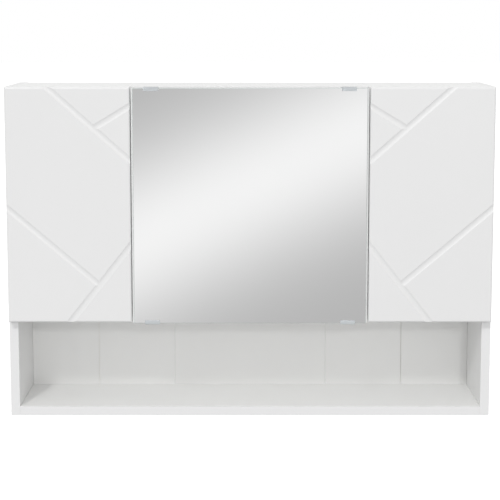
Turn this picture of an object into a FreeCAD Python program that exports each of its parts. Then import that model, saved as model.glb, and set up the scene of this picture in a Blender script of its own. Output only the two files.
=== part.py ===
"""Bathroom mirror cabinet: a mirror door between two grooved doors, over an open niche.

Frame: millimetres, +X right, -Y to the front, +Z up. The origin is midway between the two
wall screw holes, on the rear face of the back boards.
"""
import FreeCAD, Part
import Sketcher
import os
import re
from types import SimpleNamespace

V = FreeCAD.Vector
RIGHT, BACK, UP = V(1, 0, 0), V(0, 1, 0), V(0, 0, 1)
LEFT, FRONT, DOWN = V(-1, 0, 0), V(0, -1, 0), V(0, 0, -1)

# Driving dimensions: alias, millimetres, meaning
SIZES = (
    ("cabinet_width", 800, "over both side panels"),
    ("cabinet_height", 550, "from the underside to the top"),
    ("carcass_depth", 160, "depth of the side panels"),
    ("board", 15, "thickness of the carcass panels"),
    ("back_inset", 8, "side panels stand behind the back boards by this"),
    ("back_board", 3, "thickness of the back boards"),
    ("back_joint", 267, "joints of the back boards, from the centre"),
    ("back_joint_gap", 1, "open joint between two back boards"),
    ("back_edge_gap", 0.5, "back boards to the outline"),
    ("fold_line", 133, "fold lines of the middle back board, from the centre"),
    ("fold_width", 1.6, "width of a fold line"),
    ("fold_depth", 0.8, "depth of a fold line"),
    ("tape_width", 26, "tape behind a joint of the back boards"),
    ("tape_thickness", 0.3, "tape behind a joint of the back boards"),
    ("niche_height", 170, "underside of the niche top over the cabinet's underside"),
    ("door_thickness", 16, "front to back of every door"),
    ("door_clearance", 3, "between the carcass front and a door's back"),
    ("door_reveal", 2, "side doors stay inside the side panels by this"),
    ("door_spacing", 4.2, "gap between two doors"),
    ("door_bottom", 163, "lower edge of the doors over the cabinet's underside"),
    ("door_round", 3, "rounding of the side doors' front edges"),
    ("mirror_width", 381, "width of the mirror glass"),
    ("mirror_reveal", 2, "mirror door stays under the cabinet's top by this"),
    ("mirror_drop", 1.5, "mirror door reaches below the side doors by this"),
    ("board_margin", 3.1, "carrier board stands out beside the mirror glass by this"),
    ("board_ease", 4, "bevel on the upright rear edges of the carrier board"),
    ("board_arris", 1.5, "bevel on the upright front edges of the carrier board"),
    ("glass_thickness", 3, "mirror glass"),
    ("glass_arris", 0.6, "ground edge of the mirror glass"),
    ("groove_width", 10.5, "round grooves in the side doors"),
    ("groove_depth", 1.8, "round grooves in the side doors"),
    ("groove_run_out", 13, "cutters of the grooves run beyond a door's edge by this"),
    ("upper_groove_top", 68, "upper groove on the top edge, from the outer edge"),
    ("upper_groove_side", 266.5, "upper groove on the inner edge, from the bottom"),
    ("branch_start", 143.6, "branch leaves the upper groove, from the outer edge"),
    ("branch_side", 356, "branch on the inner edge, from the bottom"),
    ("corner_groove_bottom", 102, "corner groove on the bottom edge, from the outer edge"),
    ("corner_groove_side", 128.5, "corner groove on the inner edge, from the bottom"),
    ("lower_groove_side", 190.7, "lower groove on the outer edge, from the bottom"),
    ("lower_groove_end", 150.8, "lower groove meets the corner groove, from the outer edge"),
    ("clip_offset", 160.8, "mirror clips from the centre"),
    ("clip_width", 24, "mirror clip"),
    ("clip_plate", 2, "thickness of a mirror clip"),
    ("clip_lip", 4.5, "how far a clip laps over the glass"),
    ("clip_reach", 11, "how far a clip lies on the board's edge"),
    ("clip_slack", 0.1, "between a clip's lip and the glass"),
    ("rail_height", 60, "hanging rail"),
    ("rail_slack", 0.4, "notch in a divider round the hanging rail"),
    ("wall_hole_spacing", 600, "between the two wall screws"),
    ("wall_hole_radius", 3, "hole for a wall screw"),
    ("shelf_height", 355, "underside of the shelves over the cabinet's underside"),
    ("shelf_depth", 120, "front to back of a shelf"),
    ("shelf_slack", 1, "at each end of a shelf"),
    ("shelf_back_gap", 0.6, "between a shelf and the back boards"),
    ("shelf_pin_radius", 2.5, "shelf pin"),
    ("shelf_pin_seat", 7.2, "depth of a shelf pin's hole"),
    ("shelf_pin_reach", 8, "length of a shelf pin under the shelf"),
    ("shelf_pin_inset", 24, "shelf pins from the shelf's front and back edges"),
    ("cam_radius", 7.5, "pocket of a cam"),
    ("cam_depth", 12.2, "pocket of a cam"),
    ("cam_setback", 24, "cam axis from the end of its panel"),
    ("cam_edge", 32, "cams from the front and back edges of a panel"),
    ("cam_slot", 1.4, "width and depth of the driver slot"),
    ("cam_slot_length", 6.6, "driver slot"),
    ("bolt_radius", 3.5, "bore for a cam bolt in the panel's end"),
    ("bolt_shaft_radius", 3.2, "cam bolt in the panel's end"),
    ("bolt_thread_radius", 2.5, "hole for a cam bolt in a side panel"),
    ("bolt_thread", 10, "depth of a cam bolt in a side panel"),
    ("dowel_radius", 4, "dowel hole"),
    ("dowel_shallow", 10, "dowel in the face of a panel"),
    ("dowel_deep", 20, "dowel in the end of a panel"),
    ("dowel_edge", 40, "dowels of a divider from its front edge"),
    ("dowel_pitch", 70, "between the two dowels of a divider"),
    ("rail_dowel_pitch", 36, "between the two dowels of a rail end"),
    ("nail_radius", 0.8, "nail hole"),
    ("nail_length", 20, "nail behind its head"),
    ("nail_head_radius", 2, "nail"),
    ("nail_head", 0.8, "thickness of a nail's head"),
    ("fit", 0.06, "radial clearance of a seated fastener"),
    ("end_slack", 0.24, "free depth under the end of a seated fastener"),
    ("hinge_inset", 70, "hinges over the side doors' lower edge and under the mirror door's upper edge"),
    ("pin_across", 7, "hinge axis from the door's edge"),
    ("pin_deep", 8.2, "hinge axis from the door's back face"),
    ("pin_radius", 1.2, "hinge pin"),
    ("pin_running", 0.04, "radial clearance of the arm on its pin"),
    ("cup_centre", 20.5, "cup axis from the door's edge"),
    ("cup_radius", 17.5, "hinge cup"),
    ("cup_depth", 11.4, "hinge cup in the door"),
    ("cup_wall", 0.8, "wall of the hinge cup"),
    ("cup_floor", 0.6, "floor of the hinge cup"),
    ("cup_rim", 1.5, "rim of the cup beyond its pocket"),
    ("cup_flange", 1, "thickness of the rim and its wings"),
    ("cup_screw_pitch", 48, "between the two screws of a cup"),
    ("cup_screw_offset", 6, "cup screws from the cup axis, away from the door's edge"),
    ("cup_wing", 5, "radius of a wing round its screw"),
    ("lug_width", 3, "lug that holds an end of the hinge pin"),
    ("lug_radius", 2.6, "lug round the hinge pin"),
    ("arm_width", 8, "hinge arm along the axis"),
    ("arm_thickness", 3.6, "hinge arm"),
    ("arm_neck", 13, "neck of the arm from its eye to the bend"),
    ("arm_rise", 0.5, "neck leans towards the door's front by this"),
    ("arm_eye_radius", 2.4, "eye of the arm round the pin"),
    ("arm_side_gap", 0.3, "between the arm and a lug"),
    ("arm_length", 62, "arm behind the door's back face"),
    ("arm_screw_inset", 12, "clamping screw from the arm's end"),
    ("plate_front", 26, "mounting plate behind the carcass front"),
    ("plate_length", 36, "mounting plate, front to back"),
    ("plate_height", 40, "mounting plate, up and down"),
    ("plate_wing", 2, "thickness of a mounting plate's wings"),
    ("plate_block", 16, "mounting plate under the arm, up and down"),
    ("plate_screw_pitch", 28, "between the two screws of a plate"),
    ("screw_radius", 1.75, "wood screw"),
    ("screw_head_radius", 3.4, "wood screw"),
    ("screw_head", 1.8, "thickness of a screw's head"),
    ("screw_reach", 9, "wood screw in its panel"),
    ("small_screw_radius", 1.2, "screw of a mirror clip"),
    ("small_screw_head_radius", 2.2, "screw of a mirror clip"),
    ("small_screw_head", 1, "countersunk head of a clip's screw"),
    ("small_screw_reach", 12, "screw of a mirror clip in the board"),
    ("clamp_screw_radius", 2, "screw that clamps an arm on its plate"),
    ("clamp_screw_reach", 4, "clamping screw in the plate"),
    ("bumper_radius", 4, "door bumper"),
    ("bumper_gap", 0.2, "between a bumper and the carcass"),
    ("bumper_inset", 18, "bumpers from the door's free edge"),
)

doc = FreeCAD.newDocument("mirror_cabinet")
nodes = []


def make_sheet():
    """Write the driving dimensions into a spreadsheet and return their values by alias."""
    sheet = doc.addObject("Spreadsheet::Sheet", "Sizes")
    for row, (alias, number, meaning) in enumerate(SIZES, start=1):
        sheet.set(f"A{row}", alias)
        sheet.set(f"B{row}", str(number))
        sheet.setAlias(f"B{row}", alias)
        sheet.set(f"C{row}", meaning)
    doc.recompute()
    return SimpleNamespace(**{alias: float(sheet.get(alias)) for alias, _, _ in SIZES})


S = make_sheet()

# Places that follow from the driving dimensions
HALF_WIDTH = S.cabinet_width / 2
INNER_HALF = HALF_WIDTH - S.board
TOP = S.board + S.rail_height / 2
FLOOR = TOP - S.cabinet_height
REAR = S.back_inset
PANEL_REAR = -S.back_board
CARCASS_FRONT = REAR - S.carcass_depth
DOOR_BACK = CARCASS_FRONT - S.door_clearance
DOOR_FRONT = DOOR_BACK - S.door_thickness
NICHE_TOP = FLOOR + S.niche_height
SHELF_UNDER = FLOOR + S.shelf_height
DOOR_LOW = FLOOR + S.door_bottom
DOOR_HEIGHT = TOP - DOOR_LOW
MIRROR_LOW = DOOR_LOW - S.mirror_drop
MIRROR_HIGH = TOP - S.mirror_reveal
DOOR_EDGE = HALF_WIDTH - S.door_reveal
SIDE_DOOR_WIDTH = DOOR_EDGE - S.mirror_width / 2 - S.door_spacing
DIVIDER_CENTRE = S.mirror_width / 2 + S.door_spacing / 2
DIVIDER_INNER = DIVIDER_CENTRE - S.board / 2
DIVIDER_OUTER = DIVIDER_CENTRE + S.board / 2
HINGE_HEIGHTS = (DOOR_LOW + S.hinge_inset, MIRROR_HIGH - S.hinge_inset)
CAM_ROWS = (CARCASS_FRONT + S.cam_edge, PANEL_REAR - S.cam_edge)
PANEL_MIDDLE = (CARCASS_FRONT + PANEL_REAR) / 2
DIVIDER_DOWEL_ROWS = (CARCASS_FRONT + S.dowel_edge, CARCASS_FRONT + S.dowel_edge + S.dowel_pitch)
RAIL_MIDDLE = PANEL_REAR - S.board / 2
DIVIDER_ENDS = ((TOP - S.board, UP), (NICHE_TOP + S.board, DOWN))
DIVIDER_ENDS_INWARD = ((TOP - S.board, DOWN), (NICHE_TOP + S.board, UP))

# Level panels: name, height of the underside, face on which the cams are turned
PANEL_LEVELS = (
    ("top_panel", TOP - S.board, DOWN),
    ("niche_top_panel", NICHE_TOP, UP),
    ("bottom_panel", FLOOR, DOWN),
)

# Faces with shelf pins: x of the face and the direction into its panel
SIDE_PIN_FACES = {"left": ((-INNER_HALF, LEFT),), "right": ((INNER_HALF, RIGHT),)}
DIVIDER_PIN_FACES = {
    "left": ((-DIVIDER_OUTER, RIGHT), (-DIVIDER_INNER, LEFT)),
    "right": ((DIVIDER_INNER, RIGHT), (DIVIDER_OUTER, LEFT)),
}

# Hinges: name of the door, x of its hinge edge, the panel face that carries the arm, mirrored or not
HINGE_SETS = (
    ("left", -DOOR_EDGE, -INNER_HALF, False),
    ("mirror", -S.mirror_width / 2, -DIVIDER_INNER, False),
    ("right", DOOR_EDGE, INNER_HALF, True),
)
PLATE_MIDDLE = CARCASS_FRONT + S.plate_front + S.plate_length / 2
ARM_FACE = S.pin_across + S.arm_neck - S.arm_thickness / 2
MIRROR_TALL = "cabinet_height - door_bottom + mirror_drop - mirror_reveal"
PANEL_DEEP = "carcass_depth - back_inset - back_board"


def bind(item, **formulas):
    """Bind properties to formulas on the sheet's aliases, such as Length="cabinet_width - 2 * board"."""
    for name, formula in formulas.items():
        item.setExpression(name, re.sub(r"[a-z_]{2,}", lambda word: "Sizes." + word.group(), formula))


def at(x, y, z, axis=UP):
    """Placement at a point, with the piece's own Z turned to the axis."""
    return FreeCAD.Placement(V(x, y, z), FreeCAD.Rotation(UP, axis))


def block(name, length, width, height, x, y, z):
    """Rectangular piece whose three sizes are formulas, with its lowest corner at x, y, z."""
    item = doc.addObject("Part::Box", name)
    bind(item, Length=length, Width=width, Height=height)
    item.Placement = at(x, y, z)
    return item


def rod(name, radius, height, place=None):
    """Cylinder whose radius and height are formulas, along the placement's Z."""
    item = doc.addObject("Part::Cylinder", name)
    bind(item, Radius=radius, Height=height)
    item.Placement = place or at(0, 0, 0)
    return item


def combine(kind, name, items):
    """Part::MultiFuse or Part::Compound of several objects."""
    item = doc.addObject(kind, name)
    if kind == "Part::MultiFuse":
        item.Shapes = items
    else:
        item.Links = items
    return item


def cut(name, base, *tools):
    """Base less all the tools."""
    item = doc.addObject("Part::Cut", name)
    item.Base = base
    item.Tool = tools[0] if len(tools) == 1 else combine("Part::Compound", name + "_tools", list(tools))
    return item


def repeat(name, source, places):
    """Group of separate copies of one object, each at its own placement."""
    doc.recompute()
    copies = []
    for place in places:
        copy = source.Shape.copy()
        copy.Placement = place.multiply(source.Placement)
        copies.append(copy)
    item = doc.addObject("Part::Feature", name)
    item.Shape = Part.makeCompound(copies)
    return item


def node(item):
    """Keep an object as one of the cabinet's sub-parts."""
    nodes.append(item)


def bores(name, radius, depth, places):
    """Cutting tools for equal holes: each starts at its placement and runs along its Z."""
    return repeat(name, rod(name + "_bit", radius, depth), places)


def side_joint_places(rows, outward):
    """Placements on the joint planes of the three level panels, one per row and end."""
    places = []
    for _, low, _ in PANEL_LEVELS:
        for side in (LEFT, RIGHT):
            axis = side if outward else side * -1
            for row in rows:
                places.append(at(side.x * INNER_HALF, row, low + S.board / 2, axis))
    return places


def nail_places():
    """Nails through the back boards into the three level panels, pointing to the front."""
    across = (0, S.fold_line, S.back_joint - S.tape_width, S.back_joint + S.tape_width,
              INNER_HALF - S.cam_setback)
    columns = sorted({side * offset for side in (-1, 1) for offset in across})
    return [at(x, 0, low + S.board / 2, FRONT) for _, low, _ in PANEL_LEVELS for x in columns]


def divider_dowel_places(ends):
    """Dowels at the upper and lower end of both dividers, each pointing out of the divider."""
    places = []
    for x in (-DIVIDER_CENTRE, DIVIDER_CENTRE):
        for row in DIVIDER_DOWEL_ROWS:
            for level, axis in ends:
                places.append(at(x, row, level, axis))
    return places


def rail_dowel_places(outward):
    """Dowels at both ends of the hanging rail."""
    places = []
    for side in (LEFT, RIGHT):
        for up in (-S.rail_dowel_pitch / 2, S.rail_dowel_pitch / 2):
            axis = side if outward else side * -1
            places.append(at(side.x * INNER_HALF, RAIL_MIDDLE, up, axis))
    return places


def shelf_pin_places(faces):
    """Shelf pins, each on a panel face and pointing into that panel."""
    back = PANEL_REAR - S.shelf_back_gap - S.shelf_pin_inset
    front = PANEL_REAR - S.shelf_back_gap - S.shelf_depth + S.shelf_pin_inset
    level = SHELF_UNDER - S.shelf_pin_radius
    return [at(x, y, level, axis) for x, axis in faces for y in (back, front)]


def hinge_places(edge, mirrored):
    """Placements of a door's two hinges: own X runs from the door's edge inward, own Y to the back."""
    turn = FreeCAD.Rotation(BACK, 180 if mirrored else 0)
    return [FreeCAD.Placement(V(edge, DOOR_BACK, z), turn) for z in HINGE_HEIGHTS]


def plate_screw_places(face, direction, lift):
    """Screws of a door's two mounting plates, lifted off the panel's face and pointing into the panel."""
    places = []
    for z in HINGE_HEIGHTS:
        for up in (-S.plate_screw_pitch / 2, S.plate_screw_pitch / 2):
            places.append(at(face - direction.x * lift, PLATE_MIDDLE, z + up, direction))
    return places


def panel_holes(name, face, direction):
    """Pilot holes for the mounting plate screws in the panel that carries a door."""
    return bores(name, "screw_radius", "screw_reach + end_slack", plate_screw_places(face, direction, 0))


def make_side_panels():
    """Left and right side panel with the holes of bolts, dowels, shelf pins and hinge plates."""
    bolt_places = side_joint_places(CAM_ROWS, outward=True)
    bolt_holes = bores("side_bolt_holes", "bolt_thread_radius", "bolt_thread", bolt_places)
    dowel_places = side_joint_places((PANEL_MIDDLE,), outward=True) + rail_dowel_places(outward=True)
    dowel_holes = bores("side_dowel_holes", "dowel_radius", "dowel_shallow", dowel_places)
    for side, x, face in (("left", -HALF_WIDTH, -INNER_HALF), ("right", INNER_HALF, INNER_HALF)):
        blank = block(side + "_side_blank", "board", "carcass_depth", "cabinet_height",
                      x, CARCASS_FRONT, FLOOR)
        pins = bores(side + "_side_pin_holes", "shelf_pin_radius", "shelf_pin_seat",
                     shelf_pin_places(SIDE_PIN_FACES[side]))
        screws = panel_holes(side + "_side_screw_holes", face, LEFT if side == "left" else RIGHT)
        node(cut(side + "_side_panel", blank, bolt_holes, dowel_holes, pins, screws))


def make_level_panels():
    """Top panel, niche top and bottom panel, each with cam pockets, bores and dowel holes."""
    nail_holes = bores("panel_nail_holes", "nail_radius", "nail_length", nail_places())
    bolt_bores = bores("panel_bolt_bores", "bolt_radius", "cam_setback",
                       side_joint_places(CAM_ROWS, outward=False))
    dowel_holes = bores("panel_dowel_holes", "dowel_radius", "dowel_deep",
                        side_joint_places((PANEL_MIDDLE,), outward=False))
    divider_holes = bores("panel_divider_holes", "dowel_radius", "dowel_shallow",
                          divider_dowel_places(DIVIDER_ENDS))
    for name, low, cam_face in PANEL_LEVELS:
        blank = block(name + "_blank", "cabinet_width - 2 * board", PANEL_DEEP, "board",
                      -INNER_HALF, CARCASS_FRONT, low)
        pockets = bores(name + "_cam_pockets", "cam_radius", "cam_depth", cam_places(low, cam_face))
        node(cut(name, blank, nail_holes, bolt_bores, dowel_holes, divider_holes, pockets))


def cam_places(low, cam_face):
    """Cam axes of one level panel, from the face where its cams are turned into the panel."""
    level = low + S.board if cam_face == UP else low
    reach = INNER_HALF - S.cam_setback
    return [at(side * reach, row, level, cam_face * -1) for side in (-1, 1) for row in CAM_ROWS]


def make_dividers():
    """Dividers between top panel and niche top, notched for the hanging rail."""
    dowel_holes = bores("divider_dowel_holes", "dowel_radius", "dowel_deep",
                        divider_dowel_places(DIVIDER_ENDS_INWARD))
    notch = block("divider_notch", "cabinet_width", "board + rail_slack", "rail_height + rail_slack",
                  -HALF_WIDTH, PANEL_REAR - S.board - S.rail_slack, -S.rail_height / 2 - S.rail_slack)
    mirror_screws = panel_holes("divider_screw_holes", -DIVIDER_INNER, LEFT)
    for side, x in (("left", -DIVIDER_OUTER), ("right", DIVIDER_INNER)):
        blank = block(side + "_divider_blank", "board", PANEL_DEEP,
                      "cabinet_height - niche_height - 2 * board", x, CARCASS_FRONT, NICHE_TOP + S.board)
        pins = bores(side + "_divider_pin_holes", "shelf_pin_radius", "shelf_pin_seat",
                     shelf_pin_places(DIVIDER_PIN_FACES[side]))
        tools = [dowel_holes, notch, pins] + ([mirror_screws] if side == "left" else [])
        node(cut(side + "_divider", blank, *tools))


def make_back():
    """Three back boards, the tapes behind their joints and the nails."""
    nail_holes = bores("back_nail_holes", "nail_radius", "back_board", nail_places())
    wall_places = [at(x, 0, 0, FRONT) for x in (-S.wall_hole_spacing / 2, S.wall_hole_spacing / 2)]
    wall_holes = bores("back_wall_holes", "wall_hole_radius", "back_board", wall_places)
    low = FLOOR + S.back_edge_gap
    tall = "cabinet_height - 2 * back_edge_gap"
    half_gap = S.back_joint_gap / 2
    outer_width = "cabinet_width / 2 - board - back_edge_gap - back_joint - back_joint_gap / 2"
    for side, x in (("left", -INNER_HALF + S.back_edge_gap), ("right", S.back_joint + half_gap)):
        blank = block("back_board_" + side + "_blank", outer_width, "back_board", tall, x, PANEL_REAR, low)
        node(cut("back_board_" + side, blank, nail_holes, wall_holes))
    middle = block("back_board_centre_blank", "2 * back_joint - back_joint_gap", "back_board", tall,
                   half_gap - S.back_joint, PANEL_REAR, low)
    folds = repeat("fold_lines", v_cutter("fold_cutter", "fold_width", "fold_depth", "cabinet_height"),
                   [at(x, PANEL_REAR, FLOOR) for x in (-S.fold_line, S.fold_line)])
    node(cut("back_board_centre", middle, nail_holes, folds))
    tape = block("joint_tape", "tape_width", "tape_thickness", tall, -S.tape_width / 2, 0, low)
    node(repeat("back_joint_tapes", tape, [at(x, 0, 0) for x in (-S.back_joint, S.back_joint)]))
    shank = rod("nail_shank", "nail_radius - fit", "nail_length - nail_radius")
    head = rod("nail_disc", "nail_head_radius", "nail_head", at(0, 0, -S.nail_head))
    nail = combine("Part::MultiFuse", "nail", [shank, head])
    node(repeat("back_nails", nail, nail_places()))


def v_cutter(name, width, depth, length):
    """Prism with a V section: its mouth lies on the plane y = 0 and its point at y = depth."""
    item = doc.addObject("Part::Wedge", name)
    item.Ymin = item.Zmin = item.Z2min = item.X2min = item.X2max = 0
    bind(item, Xmin=f"-{width} / 2", Xmax=f"{width} / 2", Ymax=depth, Zmax=length, Z2max=length)
    return item


def make_rail():
    """Hanging rail under the top panel, with the holes for two wall screws."""
    blank = block("hanging_rail_blank", "cabinet_width - 2 * board", "board", "rail_height",
                  -INNER_HALF, PANEL_REAR - S.board, -S.rail_height / 2)
    half_spacing = S.wall_hole_spacing / 2
    wall_places = [at(x, PANEL_REAR, 0, FRONT) for x in (-half_spacing, half_spacing)]
    wall_holes = bores("rail_wall_holes", "wall_hole_radius", "board", wall_places)
    dowel_holes = bores("rail_dowel_holes", "dowel_radius", "dowel_deep", rail_dowel_places(outward=False))
    node(cut("hanging_rail", blank, wall_holes, dowel_holes))


def make_shelves():
    """One loose shelf per compartment on four pins."""
    back = PANEL_REAR - S.shelf_back_gap
    side_span = "(cabinet_width - 3 * board - mirror_width - door_spacing) / 2"
    centre_span = "mirror_width + door_spacing - board"
    for name, left, span in (
        ("left_shelf", -INNER_HALF, side_span),
        ("centre_shelf", -DIVIDER_INNER, centre_span),
        ("right_shelf", DIVIDER_OUTER, side_span),
    ):
        node(block(name, f"{span} - 2 * shelf_slack", "shelf_depth", "board",
                   left + S.shelf_slack, back - S.shelf_depth, SHELF_UNDER))
    seat = rod("pin_seat", "shelf_pin_radius - fit", "shelf_pin_seat - end_slack")
    reach = rod("pin_reach", "shelf_pin_radius", "shelf_pin_reach", at(0, 0, -S.shelf_pin_reach))
    pin = combine("Part::MultiFuse", "shelf_pin", [seat, reach])
    faces = [face for side in ("left", "right") for face in SIDE_PIN_FACES[side] + DIVIDER_PIN_FACES[side]]
    node(repeat("shelf_pins", pin, shelf_pin_places(faces)))


def make_joint_fittings():
    """Cams, cam bolts and dowels that hold the panels together."""
    body = rod("cam_body", "cam_radius - fit", "cam_depth - end_slack",
               at(0, 0, S.end_slack / 2 - S.cam_depth))
    mouth = rod("cam_mouth", "bolt_radius", "2 * cam_radius", at(0, 0, -S.board / 2, RIGHT))
    half_length, half_slot = S.cam_slot_length / 2, S.cam_slot / 2
    across = block("cam_slot_across", "cam_slot_length", "cam_slot", "cam_slot",
                   -half_length, -half_slot, -S.cam_slot)
    along = block("cam_slot_along", "cam_slot", "cam_slot_length", "cam_slot",
                  -half_slot, -half_length, -S.cam_slot)
    cam = cut("cam", body, mouth, across, along)
    places = []
    for _, low, cam_face in PANEL_LEVELS:
        face = low + S.board if cam_face == UP else low
        for side in (-1, 1):
            spin = FreeCAD.Rotation(UP, 0 if side > 0 else 180)
            flip = FreeCAD.Rotation(RIGHT, 0 if cam_face == UP else 180)
            for row in CAM_ROWS:
                axis_point = V(side * (INNER_HALF - S.cam_setback), row, face)
                places.append(FreeCAD.Placement(axis_point, spin.multiply(flip)))
    node(repeat("cams", cam, places))

    thread = rod("bolt_thread_end", "bolt_thread_radius - fit", "bolt_thread - end_slack")
    shaft = rod("bolt_shaft", "bolt_shaft_radius", "cam_setback - bolt_radius",
                at(0, 0, S.bolt_radius - S.cam_setback))
    bolt = combine("Part::MultiFuse", "cam_bolt", [thread, shaft])
    node(repeat("cam_bolts", bolt, side_joint_places(CAM_ROWS, outward=True)))

    dowel = rod("dowel", "dowel_radius - fit", "dowel_shallow + dowel_deep - 2 * end_slack",
                at(0, 0, S.end_slack - S.dowel_deep))
    dowel_places = side_joint_places((PANEL_MIDDLE,), outward=True) + rail_dowel_places(outward=True)
    node(repeat("wood_dowels", dowel, dowel_places + divider_dowel_places(DIVIDER_ENDS)))


def make_side_doors():
    """Left and right door: a padded outline with rounded front edges, hinge pockets and round grooves."""
    for side, edge in (("left", -DOOR_EDGE), ("right", DOOR_EDGE)):
        inward = 1 if side == "left" else -1
        body = doc.addObject("PartDesign::Body", side + "_door_blank")
        sketch = body.newObject("Sketcher::SketchObject", side + "_door_outline")
        plane = [item for item in body.Origin.OriginFeatures if item.Role == "XZ_Plane"][0]
        sketch.AttachmentSupport = (plane, [""])
        sketch.MapMode = "FlatFace"
        outline_rectangle(sketch, min(edge, edge + inward * SIDE_DOOR_WIDTH), DOOR_LOW,
                          "cabinet_width / 2 - door_reveal - mirror_width / 2 - door_spacing",
                          "cabinet_height - door_bottom", SIDE_DOOR_WIDTH, DOOR_HEIGHT)
        pad = body.newObject("PartDesign::Pad", side + "_door_pad")
        pad.Profile = sketch
        bind(pad, Length="door_thickness")
        body.Placement = at(0, DOOR_BACK, 0)
        doc.recompute()
        front = min(vertex.Point.y for vertex in pad.Shape.Vertexes)
        edges = [f"Edge{index}" for index in edges_at(pad.Shape, front)]
        rounding = body.newObject("PartDesign::Fillet", side + "_door_rounding")
        rounding.Base = (pad, edges)
        bind(rounding, Radius="door_round")
        doc.recompute()
        tools = cup_pockets(side + "_door", edge, side == "right") + groove_cutters(side, edge, inward)
        node(cut(side + "_door", body, *tools))


def edges_at(shape, level):
    """Numbers of a shape's edges that lie in the plane y = level, counted from 1."""
    return [index for index, line in enumerate(shape.Edges, start=1)
            if all(abs(vertex.Point.y - level) < S.fit for vertex in line.Vertexes)]


def outline_rectangle(sketch, left, low, width, height, width_now, height_now):
    """Rectangle with its lowest left corner fixed and its two sizes bound to formulas."""
    corners = [V(left, low, 0), V(left + width_now, low, 0),
               V(left + width_now, low + height_now, 0), V(left, low + height_now, 0)]
    for start, end in zip(corners, corners[1:] + corners[:1]):
        sketch.addGeometry(Part.LineSegment(start, end), False)
    for line in range(4):
        sketch.addConstraint(Sketcher.Constraint("Coincident", line, 2, (line + 1) % 4, 1))
    for line in (0, 2):
        sketch.addConstraint(Sketcher.Constraint("Horizontal", line))
    for line in (1, 3):
        sketch.addConstraint(Sketcher.Constraint("Vertical", line))
    sketch.addConstraint(Sketcher.Constraint("DistanceX", -1, 1, 0, 1, left))
    sketch.addConstraint(Sketcher.Constraint("DistanceY", -1, 1, 0, 1, low))
    wide = sketch.addConstraint(Sketcher.Constraint("DistanceX", 0, 1, 0, 2, width_now))
    tall = sketch.addConstraint(Sketcher.Constraint("DistanceY", 1, 1, 1, 2, height_now))
    bind(sketch, **{f"Constraints[{wide}]": width, f"Constraints[{tall}]": height})


def cup_pockets(name, edge, mirrored):
    """Cutting tools for the round pockets of a door's two cups and their screws."""
    inward = -1 if mirrored else 1
    cups = [at(edge + inward * S.cup_centre, DOOR_BACK, z, FRONT) for z in HINGE_HEIGHTS]
    screws = []
    for z in HINGE_HEIGHTS:
        for up in (-S.cup_screw_pitch / 2, S.cup_screw_pitch / 2):
            screws.append(at(edge + inward * (S.cup_centre + S.cup_screw_offset), DOOR_BACK, z + up, FRONT))
    return [bores(name + "_cup_pockets", "cup_radius + fit", "cup_depth + fit", cups),
            bores(name + "_cup_screw_holes", "screw_radius", "screw_reach + end_slack", screws)]


def groove_lines():
    """Grooves of a side door: name, start and end from its outer lower corner, and which ends run out."""
    def level_on(start, end, across):
        return start[1] + (end[1] - start[1]) * (across - start[0]) / (end[0] - start[0])

    upper = ((S.upper_groove_top, DOOR_HEIGHT), (SIDE_DOOR_WIDTH, S.upper_groove_side))
    corner = ((S.corner_groove_bottom, 0), (SIDE_DOOR_WIDTH, S.corner_groove_side))
    branch_foot = (S.branch_start, level_on(*upper, S.branch_start))
    lower_foot = (S.lower_groove_end, level_on(*corner, S.lower_groove_end))
    return (
        ("upper", *upper, True),
        ("branch", (SIDE_DOOR_WIDTH, S.branch_side), branch_foot, False),
        ("corner", *corner, True),
        ("lower", (0, S.lower_groove_side), lower_foot, False),
    )


def groove_cutters(side, edge, inward):
    """Cutting rods for the round grooves of one side door, on its front face."""
    radius = S.groove_width ** 2 / (8 * S.groove_depth) + S.groove_depth / 2
    lift = FRONT * (radius - S.groove_depth)
    tools = []
    for name, begin, finish, both_ends in groove_lines():
        start = V(edge + inward * begin[0], DOOR_FRONT, DOOR_LOW + begin[1])
        end = V(edge + inward * finish[0], DOOR_FRONT, DOOR_LOW + finish[1])
        along = (end - start).normalize()
        start -= along * S.groove_run_out
        end += along * (S.groove_run_out if both_ends else 0)
        tools.append(rod(f"{side}_{name}_groove", "groove_width ^ 2 / (8 * groove_depth) + groove_depth / 2",
                         str((end - start).Length), at(*(start + lift), along)))
    return tools


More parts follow.
